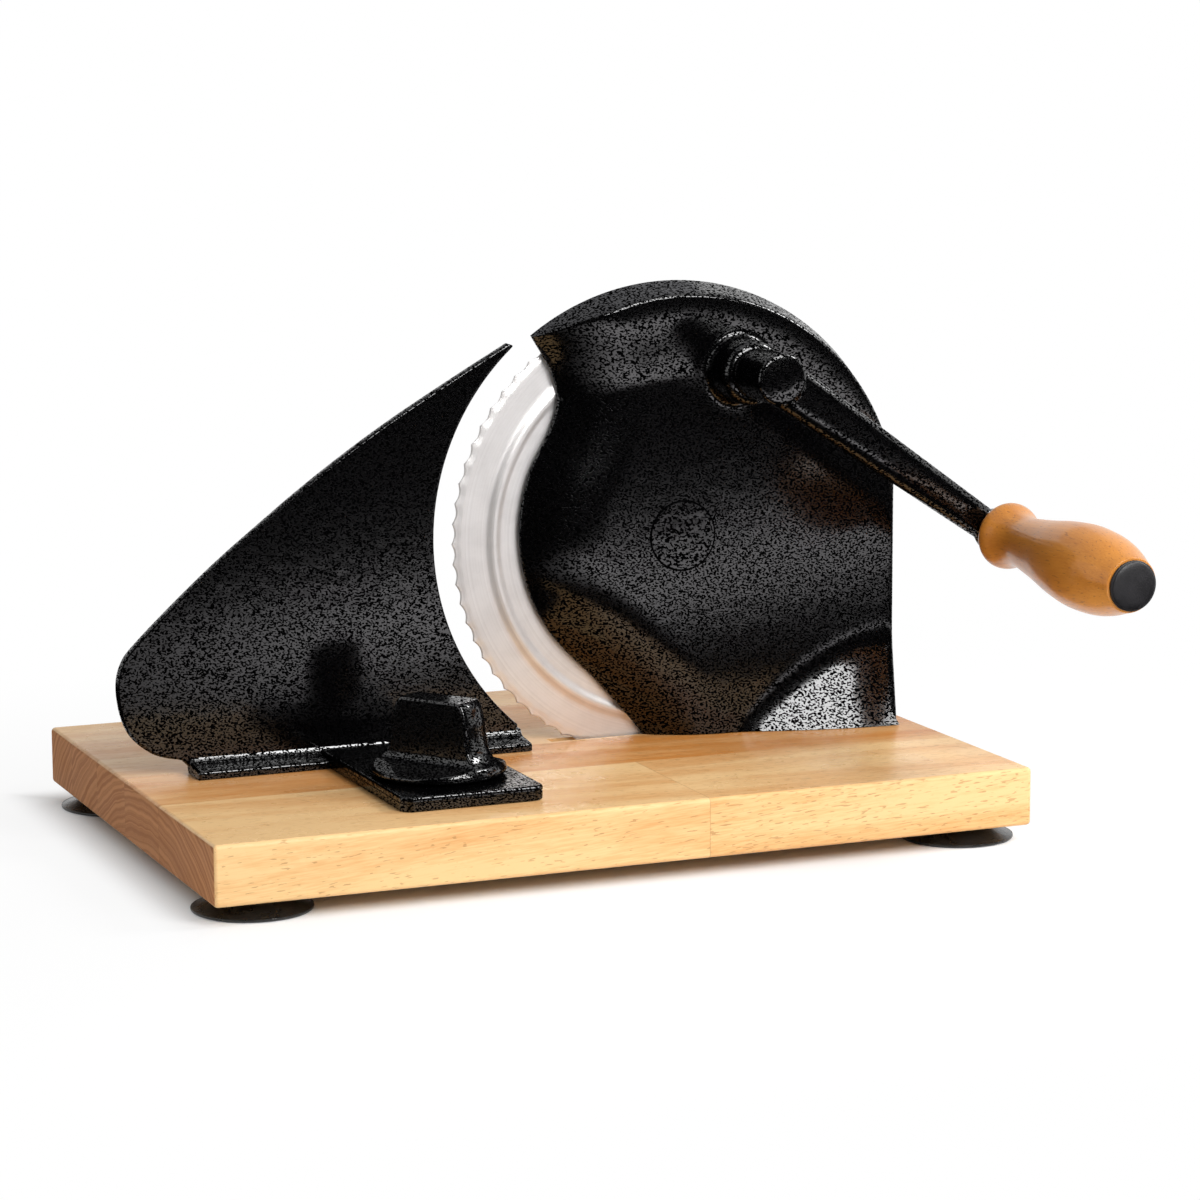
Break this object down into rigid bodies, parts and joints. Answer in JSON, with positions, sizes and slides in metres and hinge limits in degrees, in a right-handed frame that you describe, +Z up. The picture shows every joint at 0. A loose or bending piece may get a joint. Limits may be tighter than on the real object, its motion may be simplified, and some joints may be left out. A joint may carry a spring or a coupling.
{
  "type": "bread slicer",
  "caption": "Hand-cranked bread slicer: round scalloped blade in a cast cover, sliding fence with a clamp knob, wooden board on suction feet.",
  "frame": {"origin": "centre of the board's underside", "axes": "+X along the board towards the crank's grip, -Y towards the person who turns the crank, +Y the bread side, +Z up"},
  "size_m": [0.385, 0.2833, 0.2232],
  "materials": {
    "beech": "oiled laminated beech",
    "lacquered_beech": "turned and lacquered",
    "hammer_enamel": "black hammer enamel on a casting",
    "stainless": "circularly brushed",
    "zinc_steel": "zinc plated",
    "bronze": "sintered bearing bronze",
    "rubber": "black rubber",
    "black_plastic": "fine matte"
  },
  "bodies": {
    "stand": {"baseboard": "beech", "foot_front_left": "rubber", "foot_front_right": "rubber", "foot_back_left": "rubber", "foot_back_right": "rubber", "foot_screw_front_left": "zinc_steel", "foot_screw_front_right": "zinc_steel", "foot_screw_back_left": "zinc_steel", "foot_screw_back_right": "zinc_steel", "housing": "hammer_enamel", "housing_screw_1": "zinc_steel", "housing_screw_2": "zinc_steel", "housing_screw_3": "zinc_steel", "blade_axle": "zinc_steel", "keeper_washer": "zinc_steel", "keeper_screw": "zinc_steel", "shaft_bush": "bronze", "clamp_stud": "zinc_steel", "clamp_washer": "zinc_steel"},
    "blade_unit": {"blade": "stainless", "blade_gear": "zinc_steel", "blade_bush": "bronze", "gear_screw_1": "zinc_steel", "gear_screw_2": "zinc_steel", "gear_screw_3": "zinc_steel"},
    "crank": {"crank_arm": "hammer_enamel", "crank_shaft": "zinc_steel", "crank_set_screw": "zinc_steel", "pinion": "zinc_steel", "pinion_key": "zinc_steel", "grip_spindle": "zinc_steel"},
    "crank_grip": {"grip": "lacquered_beech", "grip_cap": "black_plastic"},
    "fence_unit": {"fence": "hammer_enamel"},
    "knob": {"clamp_knob": "hammer_enamel"}
  },
  "joints": [
    {"name": "blade_spin", "type": "hinge", "parent": "stand", "child": "blade_unit", "pos_m": [0.067, 0, 0.11], "axis": [0, 1, 0], "continuous": true},
    {"name": "crank_spin", "type": "hinge", "parent": "stand", "child": "crank", "pos_m": [0.09149, 0, 0.17877], "axis": [0, 1, 0], "continuous": true},
    {"name": "grip_spin", "type": "hinge", "parent": "crank", "child": "crank_grip", "pos_m": [0.19322, -0.0548, 0.10963], "axis": [0, -0.9982, -0.0593], "continuous": true},
    {"name": "fence_slide", "type": "slide", "parent": "stand", "child": "fence_unit", "axis": [0, -1, 0], "range_m": [0, 0.018]},
    {"name": "knob_turn", "type": "hinge", "parent": "stand", "child": "knob", "pos_m": [-0.0615, -0.0605, 0.0303], "axis": [0, 0, 1], "range_deg": [0, 180]}
  ],
  "couplings": [
    {"joint": "crank_spin", "follows": "blade_spin", "ratio": -1.92}
  ]
}
